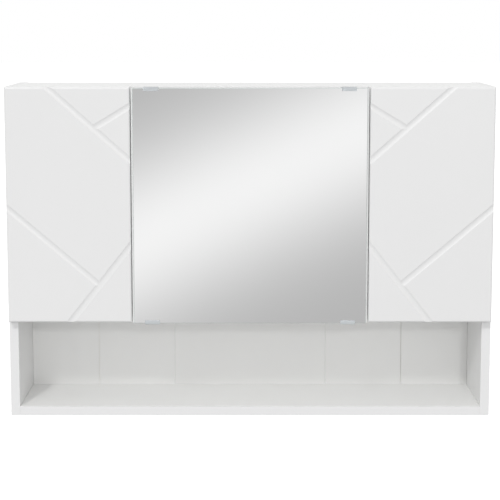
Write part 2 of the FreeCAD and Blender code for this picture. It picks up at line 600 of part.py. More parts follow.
def make_mirror_door():
    """Mirror door: carrier board, glass with ground edges and four screwed clips."""
    board_thickness = "door_thickness - glass_thickness"
    board_front = DOOR_FRONT + S.glass_thickness
    edge = -S.mirror_width / 2
    screw_row = (board_front + DOOR_BACK) / 2
    clip_places = [at(side * S.clip_offset, 0, MIRROR_HIGH) for side in (-1, 1)]
    clip_places += [FreeCAD.Placement(V(side * S.clip_offset, 0, MIRROR_LOW), FreeCAD.Rotation(BACK, 180))
                    for side in (-1, 1)]
    screw_places = [place.multiply(at(0, screw_row, S.clip_plate, DOWN)) for place in clip_places]
    blank = block("mirror_board_blank", "mirror_width + 2 * board_margin", board_thickness, MIRROR_TALL,
                  edge - S.board_margin, board_front, MIRROR_LOW)
    doc.recompute()
    eased = doc.addObject("Part::Chamfer", "mirror_board_eased")
    eased.Base = blank
    eased.Edges = [(index, bevel, bevel)
                   for level, bevel in ((DOOR_BACK, S.board_ease), (board_front, S.board_arris))
                   for index in edges_at(blank.Shape, level)
                   if blank.Shape.Edges[index - 1].BoundBox.ZLength > S.door_thickness]
    clip_holes = bores("clip_screw_holes", "small_screw_radius", "clip_plate + small_screw_reach + end_slack",
                       screw_places)
    node(cut("mirror_board", eased, clip_holes, *cup_pockets("mirror_door", edge, False)))

    pane = block("mirror_pane", "mirror_width", "glass_thickness", MIRROR_TALL, edge, DOOR_FRONT, MIRROR_LOW)
    doc.recompute()
    arris = doc.addObject("Part::Chamfer", "mirror_glass")
    arris.Base = pane
    front_edges = edges_at(pane.Shape, DOOR_FRONT)
    arris.Edges = [(index, S.glass_arris, S.glass_arris) for index in front_edges]
    node(arris)

    lip_front = DOOR_FRONT - S.clip_slack - S.clip_plate
    lip = block("clip_lip_plate", "clip_width", "clip_plate", "clip_lip + clip_plate",
                -S.clip_width / 2, lip_front, -S.clip_lip)
    flat = block("clip_flat_plate", "clip_width", "clip_plate + clip_slack + glass_thickness + clip_reach",
                 "clip_plate", -S.clip_width / 2, lip_front, 0)
    seat = rod("clip_screw_seat", "small_screw_head_radius + fit", "small_screw_head + fit",
               at(0, screw_row, S.clip_plate, DOWN))
    bore = rod("clip_screw_bore", "small_screw_radius", "clip_plate", at(0, screw_row, S.clip_plate, DOWN))
    clip = cut("mirror_clip", combine("Part::MultiFuse", "clip_angle", [lip, flat]), seat, bore)
    node(repeat("mirror_clips", clip, clip_places))

    shank = rod("clip_screw_shank", "small_screw_radius - fit", "clip_plate + small_screw_reach")
    head = rod("clip_screw_head", "small_screw_head_radius", "small_screw_head")
    screw = combine("Part::MultiFuse", "clip_screw", [shank, head])
    node(repeat("clip_screws", screw, screw_places))


def wood_screw(name, seat):
    """Pan head screw: its head lies on the plane z = 0 and its shank runs through the seat along +Z."""
    shank = rod(name + "_shank", "screw_radius - fit", f"{seat} + screw_reach")
    head = rod(name + "_head", "screw_head_radius", "screw_head", at(0, 0, -S.screw_head))
    return combine("Part::MultiFuse", name, [shank, head])


def hinge_cup():
    """Cup with rim, two screw wings and two lugs for the pin, at the door's edge and back face."""
    pot = rod("cup_pot", "cup_radius", "cup_depth", at(S.cup_centre, 0, 0, FRONT))
    rim = rod("cup_rim_ring", "cup_radius + cup_rim", "cup_flange", at(S.cup_centre, 0, 0, BACK))
    screw_across = S.cup_centre + S.cup_screw_offset
    bar = block("cup_wing_bar", "2 * cup_wing", "cup_flange", "cup_screw_pitch",
                screw_across - S.cup_wing, 0, -S.cup_screw_pitch / 2)
    ends = [at(screw_across, 0, up, BACK) for up in (-S.cup_screw_pitch / 2, S.cup_screw_pitch / 2)]
    wings = repeat("cup_wing_ends", rod("cup_wing_end", "cup_wing", "cup_flange"), ends)
    outside = combine("Part::MultiFuse", "cup_outside", [pot, rim, bar, wings])
    inside = rod("cup_inside", "cup_radius - cup_wall", "cup_depth - cup_floor + cup_flange",
                 at(S.cup_centre, S.cup_flange, 0, FRONT))
    screw_holes = repeat("cup_screw_bores", rod("cup_screw_bore", "screw_radius", "cup_flange"), ends)
    shell = cut("cup_shell", outside, inside, screw_holes)

    lug_start = S.arm_width / 2 + S.arm_side_gap
    lug_eye = rod("lug_eye", "lug_radius", "lug_width", at(S.pin_across, -S.pin_deep, lug_start))
    lug_foot = block("lug_foot", "2 * lug_radius", "cup_depth - pin_deep", "lug_width",
                     S.pin_across - S.lug_radius, -S.cup_depth, lug_start)
    lug = combine("Part::MultiFuse", "lug", [lug_eye, lug_foot])
    lugs = repeat("lug_pair", lug, [at(0, 0, 0), at(0, 0, -2 * lug_start - S.lug_width)])
    trimmed = doc.addObject("Part::Common", "lugs_in_cup")
    trimmed.Base = lugs
    trimmed.Tool = rod("cup_trim", "cup_radius", "cup_depth", at(S.cup_centre, 0, 0, FRONT))
    bore = rod("pin_bore", "pin_radius + fit", "arm_width + 2 * arm_side_gap + 2 * lug_width",
               at(S.pin_across, -S.pin_deep, -lug_start - S.lug_width))
    return cut("hinge_cup", combine("Part::MultiFuse", "cup_with_lugs", [shell, trimmed]), bore)


def hinge_arm():
    """Gooseneck arm: a strip bent from its eye in the cup round to its foot on the mounting plate."""
    eye_centre = V(S.pin_across, -S.pin_deep, -S.arm_width / 2)
    bend = eye_centre + V(S.arm_neck, -S.arm_rise, 0)
    foot = V(bend.x, S.arm_length, bend.z)
    path = Part.makePolygon([eye_centre, bend, foot])
    strip = path.makeOffset2D(S.arm_thickness / 2, join=0, fill=False, openResult=False, intersection=False)
    neck = doc.addObject("Part::Feature", "arm_strip")
    neck.Shape = Part.Face(strip).extrude(UP * S.arm_width)
    eye = rod("arm_eye", "arm_eye_radius", "arm_width", at(*eye_centre))
    pin_bore = rod("arm_pin_bore", "pin_radius + pin_running", "arm_width", at(*eye_centre))
    clamp_bore = rod("arm_clamp_bore", "clamp_screw_radius", "arm_thickness",
                     at(ARM_FACE, S.arm_length - S.arm_screw_inset, 0, RIGHT))
    return cut("hinge_arm", combine("Part::MultiFuse", "arm_with_eye", [neck, eye]), pin_bore, clamp_bore)


def mounting_plate(name, carrier_face, height):
    """Plate with a raised block under the arm; carrier_face is the panel's face from the door's edge."""
    front = S.door_clearance + S.plate_front
    wings = block(name + "_wings", "plate_wing", "plate_length", "plate_height",
                  carrier_face, front, -S.plate_height / 2)
    raised = block(name + "_block", height, "plate_length", "plate_block",
                   carrier_face, front, -S.plate_block / 2)
    middle = front + S.plate_length / 2
    half_pitch = S.plate_screw_pitch / 2
    holes = [at(carrier_face, middle, up, RIGHT) for up in (-half_pitch, half_pitch)]
    screw_bores = repeat(name + "_bores", rod(name + "_bore", "screw_radius", "plate_wing"), holes)
    clamp_bore = rod(name + "_clamp_bore", "clamp_screw_radius", "clamp_screw_reach + end_slack",
                     at(ARM_FACE, S.arm_length - S.arm_screw_inset, 0, LEFT))
    return cut(name, combine("Part::MultiFuse", name + "_whole", [wings, raised]), screw_bores, clamp_bore)


def make_hinges():
    """Cups, pins and screws on the doors; arms, plates and screws on the carcass."""
    cup = hinge_cup()
    pin = rod("hinge_pin", "pin_radius", "arm_width + 2 * arm_side_gap + 2 * lug_width",
              at(S.pin_across, -S.pin_deep, -S.arm_width / 2 - S.arm_side_gap - S.lug_width))
    cup_screw = wood_screw("cup_screw", "cup_flange")
    screw_across = S.cup_centre + S.cup_screw_offset
    half_pitch = S.cup_screw_pitch / 2
    on_cup = [at(screw_across, S.cup_flange, up, FRONT) for up in (-half_pitch, half_pitch)]
    side_carrier = S.board - S.door_reveal
    mirror_carrier = S.board / 2 - S.door_spacing / 2
    plates = {
        "side": mounting_plate("side_plate", side_carrier,
                               "pin_across + arm_neck - arm_thickness / 2 - board + door_reveal"),
        "mirror": mounting_plate("mirror_plate", mirror_carrier,
                                 "pin_across + arm_neck - arm_thickness / 2 - board / 2 + door_spacing / 2"),
    }
    plate_places = {"side": [], "mirror": []}
    arm_places = []
    screw_places = []
    for name, edge, face, mirrored in HINGE_SETS:
        places = hinge_places(edge, mirrored)
        node(repeat(name + "_hinge_cups", cup, places))
        node(repeat(name + "_hinge_pins", pin, places))
        on_door = [place.multiply(screw) for place in places for screw in on_cup]
        node(repeat(name + "_cup_screws", cup_screw, on_door))
        arm_places += places
        plate_places["mirror" if name == "mirror" else "side"] += places
        screw_places += plate_screw_places(face, RIGHT if mirrored else LEFT, S.plate_wing)
    node(repeat("hinge_arms", hinge_arm(), arm_places))
    for kind in plates:
        node(repeat(kind + "_hinge_plates", plates[kind], plate_places[kind]))
    node(repeat("hinge_plate_screws", wood_screw("plate_screw", "plate_wing"), screw_places))
    shank = rod("clamp_screw_shank", "clamp_screw_radius - fit", "arm_thickness + clamp_screw_reach")
    head = rod("clamp_screw_head", "screw_head_radius", "screw_head", at(0, 0, -S.screw_head))
    clamp = combine("Part::MultiFuse", "clamp_screw", [shank, head])
    on_arm = at(ARM_FACE + S.arm_thickness, S.arm_length - S.arm_screw_inset, 0, LEFT)
    node(repeat("hinge_arm_screws", clamp, [place.multiply(on_arm) for place in arm_places]))


def make_bumpers():
    """Two soft bumpers behind the free edge of each door, over the top panel and the niche top."""
    bumper = rod("bumper", "bumper_radius", "door_clearance - bumper_gap")
    levels = (TOP - S.board / 2, NICHE_TOP + S.board / 2)
    free_edge = S.mirror_width / 2 + S.door_spacing
    for name, x in (
        ("left_bumpers", -free_edge - S.bumper_inset),
        ("mirror_bumpers", S.mirror_width / 2 - S.bumper_inset),
        ("right_bumpers", free_edge + S.bumper_inset),
    ):
        node(repeat(name, bumper, [at(x, DOOR_BACK, level, BACK) for level in levels]))


def main():
    """Build every sub-part, test it and write its file."""
    make_side_panels()
    make_level_panels()
    make_dividers()
    make_back()
    make_rail()
    make_shelves()
    make_joint_fittings()
    make_side_doors()
    make_mirror_door()
    make_hinges()
    make_bumpers()
    doc.recompute()
    faults = [item.Name for item in doc.Objects if "Invalid" in item.State or "Error" in item.State]
    for item in nodes:
        if item.Shape.isNull() or not item.Shape.isValid() or not item.Shape.Solids:
            faults.append(item.Label)
    if faults:
        raise RuntimeError("not built: " + ", ".join(faults))
    os.makedirs("parts", exist_ok=True)
    for item in nodes:
        item.Shape.exportStep(f"parts/{item.Label}.step")
        print(item.Label, len(item.Shape.Solids), "solids", round(item.Shape.Volume), "mm3")


main()
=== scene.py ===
"""Looks of a white bathroom mirror cabinet, dressed round its solid parts.

Everything is in metres in the cabinet's own frame: +X to the right, -Y to the front, +Z up.
"""
import logging
import math
from dataclasses import dataclass
from enum import Enum
from typing import Iterable, Sequence

import bmesh
import bpy
from mathutils import Matrix, Vector


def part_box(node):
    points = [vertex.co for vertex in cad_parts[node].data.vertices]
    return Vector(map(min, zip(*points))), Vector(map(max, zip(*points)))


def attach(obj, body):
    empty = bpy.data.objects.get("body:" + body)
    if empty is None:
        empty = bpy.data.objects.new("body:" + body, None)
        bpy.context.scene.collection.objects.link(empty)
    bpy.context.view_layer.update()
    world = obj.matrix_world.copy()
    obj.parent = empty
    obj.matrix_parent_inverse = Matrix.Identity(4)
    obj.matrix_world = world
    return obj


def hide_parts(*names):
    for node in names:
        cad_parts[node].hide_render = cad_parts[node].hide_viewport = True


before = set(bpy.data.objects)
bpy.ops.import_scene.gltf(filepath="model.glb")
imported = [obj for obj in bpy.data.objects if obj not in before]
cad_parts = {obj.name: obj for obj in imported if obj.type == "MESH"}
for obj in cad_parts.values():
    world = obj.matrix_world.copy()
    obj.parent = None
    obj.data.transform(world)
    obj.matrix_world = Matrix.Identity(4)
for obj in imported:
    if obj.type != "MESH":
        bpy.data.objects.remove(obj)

LOG = logging.getLogger("mirror_cabinet")
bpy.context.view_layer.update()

Colour = tuple[float, float, float, float]
Triple = tuple[float, float, float]
Span = tuple[float, float]

MM = 0.001
WELD = 0.001 * MM  # points closer than this become one
NEAR = 0.01 * MM  # a point this close to a plane lies on it
FLAT = math.radians(0.5)  # faces that meet at less become one
SHARP = math.radians(40.0)  # edges that turn by more are rounded
ROUND_PROFILE = 0.5
ROUND_STEPS = 4
EDGE_STEPS = 2

EVEN: Triple = (1.0, 1.0, 1.0)
DRAWN: Triple = (1.0, 0.12, 1.0)  # marks drawn out along Y
UNIT: Span = (0.0, 1.0)
NOISE_SPAN: Span = (0.3, 0.7)  # nearly all noise lies in it
NOISE_ROUGHNESS = 0.55
MIX_FACTOR, MIX_FIRST, MIX_SECOND, MIX_RESULT = 0, 6, 7, 2  # colour sockets of the mix node

BAND_PLANE = -151.4 * MM  # the carcass panels' edge bands lie before it
CLIP_OFFSET = 160.8 * MM  # clips and their screws, from the middle
LIT_POINT: Triple = (0.0, -0.17, -0.3)
CHIPBOARD_STOPS = (
    (0.30, (0.20, 0.12, 0.06, 1.0)),
    (0.45, (0.45, 0.31, 0.18, 1.0)),
    (0.60, (0.58, 0.43, 0.27, 1.0)),
    (0.75, (0.70, 0.56, 0.39, 1.0)),
)


class Body(Enum):
    """Bodies of the cabinet that a piece can ride on."""

    CARCASS = "carcass"
    LEFT_DOOR = "left_door"
    MIRROR_DOOR = "mirror_door"
    RIGHT_DOOR = "right_door"


class Slot(Enum):
    """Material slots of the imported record."""

    CARCASS_FOIL = "carcass_foil"
    CLIP_PLASTIC = "clip_plastic"
    ZINC_SCREW = "zinc_screw"
    JOINT_TAPE = "joint_tape"


class ScrewHead(Enum):
    """Half outlines of screw heads, as shares of the head's radius and height."""

    PAN = ((0.0, 1.0), (0.55, 0.98), (0.85, 0.82), (0.97, 0.55), (1.0, 0.25), (1.0, 0.0))
    COUNTERSUNK = ((0.0, 1.0), (0.95, 1.0), (1.0, 0.94), (0.6, 0.0))


@dataclass(frozen=True)
class Grain:
    """A noise pattern: cells per metre, finer layers and factors on the three axes."""

    scale: float
    detail: float = 2.0
    stretch: Triple = EVEN


@dataclass(frozen=True)
class Relief:
    """A fine relief: the share of it that shows and its full height."""

    strength: float
    height: float


class Graph:
    """A node tree with short calls to add and join its nodes."""

    def __init__(self, tree: bpy.types.NodeTree) -> None:
        """Start with an empty tree."""
        self.tree = tree
        self.tree.nodes.clear()

    def feed(self, node: bpy.types.Node, inputs: dict[str | int, object]) -> None:
        """Link a node's inputs to other nodes' outputs, or set their plain values."""
        for name, value in inputs.items():
            if isinstance(value, bpy.types.NodeSocket):
                self.tree.links.new(value, node.inputs[name])
            else:
                node.inputs[name].default_value = value

    def add(self, kind: str, inputs: dict[str | int, object] | None = None,
            **settings: object) -> bpy.types.Node:
        """Add one node.

        Args:
            kind: Type name of the node.
            inputs: Values or sockets for its inputs, by name or number.
            settings: Properties of the node itself.

        Returns:
            The new node.
        """
        node = self.tree.nodes.new(kind)
        for name, value in settings.items():
            setattr(node, name, value)
        self.feed(node, inputs or {})
        return node

    def point(self) -> bpy.types.NodeSocket:
        """The object coordinates."""
        return self.add("ShaderNodeTexCoord").outputs["Object"]

    def along(self, axis: str) -> bpy.types.NodeSocket:
        """One object coordinate, named X, Y or Z."""
        return self.add("ShaderNodeSeparateXYZ", {"Vector": self.point()}).outputs[axis]

    def noise(self, grain: Grain) -> bpy.types.NodeSocket:
        """Noise between 0 and 1 over the object coordinates."""
        place = self.add("ShaderNodeMapping", {"Vector": self.point(), "Scale": grain.stretch})
        inputs = {"Vector": place.outputs["Vector"], "Scale": grain.scale, "Detail": grain.detail,
                  "Roughness": NOISE_ROUGHNESS}
        return self.add("ShaderNodeTexNoise", inputs).outputs["Fac"]

    def math(self, operation: str, *values: object) -> bpy.types.NodeSocket:
        """Result of one operation on values or sockets."""
        node = self.add("ShaderNodeMath", dict(enumerate(values)), operation=operation)
        return node.outputs[0]

    def remap(self, value: bpy.types.NodeSocket, target: Span,
              source: Span = UNIT) -> bpy.types.NodeSocket:
        """Bring a value from its source span into the target span and keep it there."""
        inputs = {"Value": value, "From Min": source[0], "From Max": source[1],
                  "To Min": target[0], "To Max": target[1]}
        return self.add("ShaderNodeMapRange", inputs, clamp=True).outputs["Result"]

    def mix(self, factor: object, first: object, second: object) -> bpy.types.NodeSocket:
        """Colour between two colours or sockets."""
        inputs = {MIX_FACTOR: factor, MIX_FIRST: first, MIX_SECOND: second}
        return self.add("ShaderNodeMix", inputs, data_type="RGBA").outputs[MIX_RESULT]

    def ramp(self, factor: bpy.types.NodeSocket,
             stops: Sequence[tuple[float, Colour]]) -> bpy.types.NodeSocket:
        """Straight colour ramp through the stops, each a place and a colour."""
        node = self.add("ShaderNodeValToRGB", {"Fac": factor})
        node.color_ramp.interpolation = "LINEAR"
        elements = node.color_ramp.elements
        while len(elements) < len(stops):
            elements.new(1.0)
        for element, (position, colour) in zip(elements, stops):
            element.position = position
            element.color = colour
        return node.outputs["Color"]

    def bump(self, height: bpy.types.NodeSocket, relief: Relief) -> bpy.types.NodeSocket:
        """Normal of a relief whose height runs from 0 to 1."""
        inputs = {"Height": height, "Strength": relief.strength, "Distance": relief.height}
        return self.add("ShaderNodeBump", inputs).outputs["Normal"]


def grey(level: float) -> Colour:
    """Plain grey of one linear level."""
    return (level, level, level, 1.0)


def blank_material(name: str) -> tuple[bpy.types.Material, Graph]:
    """New material and its empty node tree."""
    material = bpy.data.materials.new(name)
    material.use_nodes = True
    return material, Graph(material.node_tree)


@dataclass(frozen=True)
class Finish:
    """A surface finish and the material that shows it."""

    name: str

    def material(self) -> bpy.types.Material:
        """The finish as a material, made at its first use."""
        made = bpy.data.materials.get(self.name)
        if made is None:
            made, graph = blank_material(self.name)
            shader = graph.add("ShaderNodeBsdfPrincipled")
            self.paint(graph, shader)
            graph.add("ShaderNodeOutputMaterial", {"Surface": shader.outputs["BSDF"]})
        return made

    def paint(self, graph: Graph, shader: bpy.types.Node) -> None:
        """Set the shader up; each kind of finish has its own way."""
        raise NotImplementedError


@dataclass(frozen=True)
class WhiteFoil(Finish):
    """White faced board with a fine pearl grain and a satin gloss.

    Three parts along Y can differ: an edge band before the plane front_band, a rear painted lighter
    as painted light, setting in over a span along Y, and raw chipboard behind the plane raw_edge.
    """

    light: Colour = (0.885, 0.885, 0.880, 1.0)
    shade: Colour = (0.862, 0.862, 0.856, 1.0)
    cloud: Grain = Grain(7.0, 4.0)
    speck: Grain = Grain(650.0, 1.0)
    speck_share: float = 0.35
    gloss: Grain = Grain(60.0, 3.0)
    roughness: Span = (0.42, 0.54)
    shine: float = 0.4
    pearl: Grain = Grain(900.0, 1.0)
    pearl_relief: Relief = Relief(0.25, 0.04 * MM)
    front_band: float | None = None
    band: Colour = (0.800, 0.800, 0.802, 1.0)
    # painted light: the edges and rear behind the front are painted lighter, so the slits beside
    # the mirror read as lit
    painted_light_span: Span | None = None
    rearward: Colour = (0.905, 0.905, 0.900, 1.0)
    raw_edge: float | None = None
    chips: Grain = Grain(380.0, 5.0, (1.0, 1.0, 0.45))
    raw_roughness: float = 0.85

    def paint(self, graph: Graph, shader: bpy.types.Node) -> None:
        """Cloudy white with a pearl relief, and the parts along Y that are asked for."""
        cloud = graph.math("MULTIPLY", graph.noise(self.cloud), 1.0 - self.speck_share)
        tone = graph.math("MULTIPLY_ADD", graph.noise(self.speck), self.speck_share, cloud)
        colour = graph.mix(tone, self.shade, self.light)
        roughness = graph.remap(graph.noise(self.gloss), self.roughness, NOISE_SPAN)
        if self.front_band is not None:
            before = graph.math("LESS_THAN", graph.along("Y"), self.front_band)
            colour = graph.mix(before, colour, self.band)
        # painted light: behind the front the colour turns lighter, standing in for light in the
        # slits
        if self.painted_light_span is not None:
            painted_light_share = graph.remap(graph.along("Y"), UNIT, self.painted_light_span)
            colour = graph.mix(painted_light_share, colour, self.rearward)
        if self.raw_edge is not None:
            behind = graph.math("GREATER_THAN", graph.along("Y"), self.raw_edge)
            colour = graph.mix(behind, colour, graph.ramp(graph.noise(self.chips), CHIPBOARD_STOPS))
            raw = graph.math("MULTIPLY", behind, self.raw_roughness)
            roughness = graph.math("MAXIMUM", roughness, raw)
        graph.feed(shader, {
            "Base Color": colour,
            "Roughness": roughness,
            "Specular IOR Level": self.shine,
            "Normal": graph.bump(graph.noise(self.pearl), self.pearl_relief),
        })


@dataclass(frozen=True)
class Hardboard(Finish):
    """Thin fibreboard: white lacquer on its front, uncoated brown fibres on its rear."""

    white: Colour = (0.885, 0.885, 0.874, 1.0)
    dull: Colour = (0.860, 0.860, 0.850, 1.0)
    cloud: Grain = Grain(9.0, 4.0)
    gloss: Grain = Grain(70.0)
    roughness: Span = (0.42, 0.52)
    fibre: Colour = (0.31, 0.19, 0.10, 1.0)
    pale_fibre: Colour = (0.43, 0.29, 0.17, 1.0)
    fibres: Grain = Grain(240.0, 6.0, (0.35, 1.0, 1.0))
    fibre_roughness: float = 0.8
    relief: Relief = Relief(0.2, 0.06 * MM)
    rear: float = -0.35 * MM

    def paint(self, graph: Graph, shader: bpy.types.Node) -> None:
        """White before the rear plane, brown with long fibres behind it."""
        behind = graph.math("GREATER_THAN", graph.along("Y"), self.rear)
        white = graph.mix(graph.noise(self.cloud), self.dull, self.white)
        fibres = graph.noise(self.fibres)
        brown = graph.mix(graph.remap(fibres, UNIT, NOISE_SPAN), self.fibre, self.pale_fibre)
        lacquer = graph.remap(graph.noise(self.gloss), self.roughness, NOISE_SPAN)
        rearward = graph.math("MULTIPLY", behind, self.fibre_roughness)
        graph.feed(shader, {
            "Base Color": graph.mix(behind, white, brown),
            "Roughness": graph.math("MAXIMUM", lacquer, rearward),
            "Normal": graph.bump(fibres, self.relief),
        })


@dataclass(frozen=True)
class SilveredGlass(Finish):
    """Mirror glass: silver seen through the front, pale green ground edges."""

    silver: Colour = (0.932, 0.932, 0.932, 1.0)
    film: Colour = (0.918, 0.919, 0.919, 1.0)
    haze: Grain = Grain(14.0, 5.0)
    haze_span: Span = (0.35, 0.65)
    polish: Span = (0.012, 0.03)
    edge: Colour = (0.42, 0.55, 0.50, 1.0)
    pale_edge: Colour = grey(0.62)
    grinding: Grain = Grain(900.0)
    edge_roughness: float = 0.3
    front: float = -170.97 * MM

    def paint(self, graph: Graph, shader: bpy.types.Node) -> None:
        """Mirror on the front plane, ground glass behind it."""
        edge = graph.math("GREATER_THAN", graph.along("Y"), self.front)
        haze = graph.noise(self.haze)
        silver = graph.mix(haze, self.film, self.silver)
        ground = graph.mix(graph.noise(self.grinding), self.edge, self.pale_edge)
        polish = graph.remap(haze, self.polish, self.haze_span)
        rough = graph.math("MULTIPLY", edge, self.edge_roughness)
        graph.feed(shader, {
            "Base Color": graph.mix(edge, silver, ground),
            "Metallic": graph.math("SUBTRACT", 1.0, edge),
            "Roughness": graph.math("MAXIMUM", polish, rough),
        })


@dataclass(frozen=True)
class ClearPlastic(Finish):
    """Clear moulded plastic with a pale blue tint."""

    tint: Colour = (0.77, 0.803, 0.825, 1.0)
    deep: Colour = (0.72, 0.753, 0.775, 1.0)
    flow: Grain = Grain(300.0, 3.0, (0.3, 1.0, 1.0))
    roughness: Span = (0.28, 0.4)
    transmission: float = 0.35
    refraction: float = 1.49
    relief: Relief = Relief(0.1, 0.05 * MM)

    def paint(self, graph: Graph, shader: bpy.types.Node) -> None:
        """Tinted plastic that light passes through, with faint flow marks."""
        flow = graph.noise(self.flow)
        graph.feed(shader, {
            "Base Color": graph.mix(flow, self.deep, self.tint),
            "Roughness": graph.remap(flow, self.roughness, NOISE_SPAN),
            "Transmission Weight": self.transmission,
            "IOR": self.refraction,
            "Normal": graph.bump(flow, self.relief),
        })


@dataclass(frozen=True)
class PlatedMetal(Finish):
    """Plated or cast metal with fine working marks."""

    bright: Colour = (0.66, 0.65, 0.63, 1.0)
    dull: Colour = (0.52, 0.52, 0.51, 1.0)
    cloud: Grain = Grain(45.0, 3.0)
    marks: Grain = Grain(500.0, 3.0, DRAWN)
    roughness: Span = (0.22, 0.36)
    relief: Relief = Relief(0.25, 0.03 * MM)

    def paint(self, graph: Graph, shader: bpy.types.Node) -> None:
        """Cloudy metal whose gloss and relief follow its working marks."""
        marks = graph.noise(self.marks)
        graph.feed(shader, {
            "Base Color": graph.mix(graph.noise(self.cloud), self.dull, self.bright),
            "Metallic": 1.0,
            "Roughness": graph.remap(marks, self.roughness, NOISE_SPAN),
            "Normal": graph.bump(marks, self.relief),
        })


@dataclass(frozen=True)
class Beech(Finish):
    """Plain beech with short dark flecks along the grain."""

    pale: Colour = (0.66, 0.47, 0.30, 1.0)
    dark: Colour = (0.48, 0.30, 0.17, 1.0)
    grain: Grain = Grain(900.0, 4.0, (0.06, 1.0, 1.0))
    fleck_span: Span = (0.35, 0.7)
    roughness: Span = (0.55, 0.7)
    relief: Relief = Relief(0.3, 0.08 * MM)

    def paint(self, graph: Graph, shader: bpy.types.Node) -> None:
        """Grain along X with flecks."""
        grain = graph.noise(self.grain)
        flecks = graph.remap(grain, UNIT, self.fleck_span)
        graph.feed(shader, {
            "Base Color": graph.mix(flecks, self.pale, self.dark),
            "Roughness": graph.remap(grain, self.roughness),
            "Normal": graph.bump(grain, self.relief),
        })


@dataclass(frozen=True)
class PaperTape(Finish):
    """White paper tape with crossing fibres."""

    white: Colour = (0.89, 0.88, 0.85, 1.0)
    fibre: Colour = (0.82, 0.81, 0.77, 1.0)
    crepe: Grain = Grain(700.0, 3.0, (0.15, 1.0, 1.0))
    roughness: Span = (0.7, 0.85)
    relief: Relief = Relief(0.4, 0.08 * MM)

    def paint(self, graph: Graph, shader: bpy.types.Node) -> None:
        """Crepe ridges across the tape and a matt face."""
        crepe = graph.noise(self.crepe)
        graph.feed(shader, {
            "Base Color": graph.mix(crepe, self.fibre, self.white),
            "Roughness": graph.remap(crepe, self.roughness),
            "Normal": graph.bump(crepe, self.relief),
        })


@dataclass(frozen=True)
class SoftBumper(Finish):
    """Clear soft plastic of the door bumpers."""

    tint: Colour = (0.86, 0.87, 0.85, 1.0)
    cloudy: Colour = (0.76, 0.77, 0.75, 1.0)
    milk: Grain = Grain(400.0)
    roughness: Span = (0.28, 0.42)
    transmission: float = 0.45
    refraction: float = 1.45

    def paint(self, graph: Graph, shader: bpy.types.Node) -> None:
        """Milky, half clear plastic."""
        milk = graph.noise(self.milk)
        graph.feed(shader, {
            "Base Color": graph.mix(milk, self.cloudy, self.tint),
            "Roughness": graph.remap(milk, self.roughness),
            "Transmission Weight": self.transmission,
            "IOR": self.refraction,
        })


CARCASS_FOIL = WhiteFoil("white_carcass_foil", front_band=BAND_PLANE)
# painted light: a lighter copy of the carcass foil for the niche floor, standing in for light on it
PAINTED_LIGHT_FLOOR_FOIL = WhiteFoil(
    "white_floor_foil_painted_light",
    light=(0.935, 0.935, 0.925, 1.0),
    shade=(0.915, 0.915, 0.905, 1.0),
    front_band=BAND_PLANE,
)
# painted shade: a darker copy of the carcass foil on the side panels, for the shade on the niche's
# walls; the raw chipboard at their rear edges is real
PAINTED_SHADE_SIDE_FOIL = WhiteFoil(
    "white_side_foil_painted_shade",
    light=(0.865, 0.865, 0.860, 1.0),
    shade=(0.842, 0.842, 0.836, 1.0),
    front_band=BAND_PLANE,
    raw_edge=7.9 * MM,
)
DOOR_FOIL = WhiteFoil(
    "white_door_foil",
    light=(0.806, 0.806, 0.806, 1.0),
    shade=(0.788, 0.788, 0.788, 1.0),
    roughness=(0.3, 0.38),
    shine=0.5,
    pearl=Grain(420.0, 1.0),
    pearl_relief=Relief(0.25, 0.03 * MM),
    # painted light: edges and rear of the doors and of the mirror board are painted lighter than
    # the front
    painted_light_span=(-168.6 * MM, -166.8 * MM),
)
BACK_LACQUER = Hardboard("back_lacquer")
MIRROR = SilveredGlass("silvered_glass")
CLIP_PLASTIC = ClearPlastic("clear_clip_plastic")
HINGE_NICKEL = PlatedMetal("nickel_plate")
ZINC = PlatedMetal(
    "bright_zinc",
    bright=(0.70, 0.70, 0.69, 1.0),
    dull=(0.56, 0.57, 0.58, 1.0),
    marks=Grain(900.0, 3.0, DRAWN),
)
CAM_ZINC = PlatedMetal(
    "cast_zinc",
    bright=(0.55, 0.55, 0.55, 1.0),
    dull=(0.42, 0.42, 0.43, 1.0),
    marks=Grain(500.0, 3.0),
    roughness=(0.38, 0.52),
    relief=Relief(0.25, 0.06 * MM),
)
BEECH = Beech("plain_beech")
JOINT_TAPE = PaperTape("paper_joint_tape")
BUMPER = SoftBumper("bumper_plastic")


def to_mesh(name: str, shape: bmesh.types.BMesh) -> bpy.types.Mesh:
    """Turn a bmesh into a mesh and free it."""
    mesh = bpy.data.meshes.new(name)
    shape.to_mesh(mesh)
    shape.free()
    return mesh


def link(name: str, data: bpy.types.ID) -> bpy.types.Object:
    """New object of the scene that shows a mesh, a lamp or a camera."""
    item = bpy.data.objects.new(name, data)
    bpy.context.scene.collection.objects.link(item)
    return item


def dress(names: Iterable[str], finish: Finish) -> None:
    """Give solid parts of the frame a finish."""
    for name in names:
        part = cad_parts[name]
        part.data.materials.clear()
        part.data.materials.append(finish.material())
        LOG.info("%s dressed with %s", name, finish.name)


def add_piece(name: str, shape: bmesh.types.BMesh, finish: Finish, body: Body,
              stands_for: Sequence[str]) -> None:
    """Turn a finished bmesh into a piece that rides on a body.

    Args:
        name: Name of the piece.
        shape: Its mesh, in place; it is freed.
        finish: Its finish.
        body: The body that carries it.
        stands_for: Solid parts that it is shown for.
    """
    mesh = to_mesh(name, shape)
    mesh.materials.append(finish.material())
    piece = link(name, mesh)
    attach(piece, body.value)
    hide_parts(*stands_for)
    LOG.info("%s built with %d faces", name, len(mesh.polygons))


def bevel(shape: bmesh.types.BMesh, edges: Sequence[bmesh.types.BMEdge], radius: float,
          steps: int) -> None:
    """Round edges of a shape to a radius in a number of steps."""
    bmesh.ops.bevel(shape, geom=list(edges), offset=radius, offset_type="OFFSET", segments=steps,
                    profile=ROUND_PROFILE, affect="EDGES", material=-1, clamp_overlap=True)


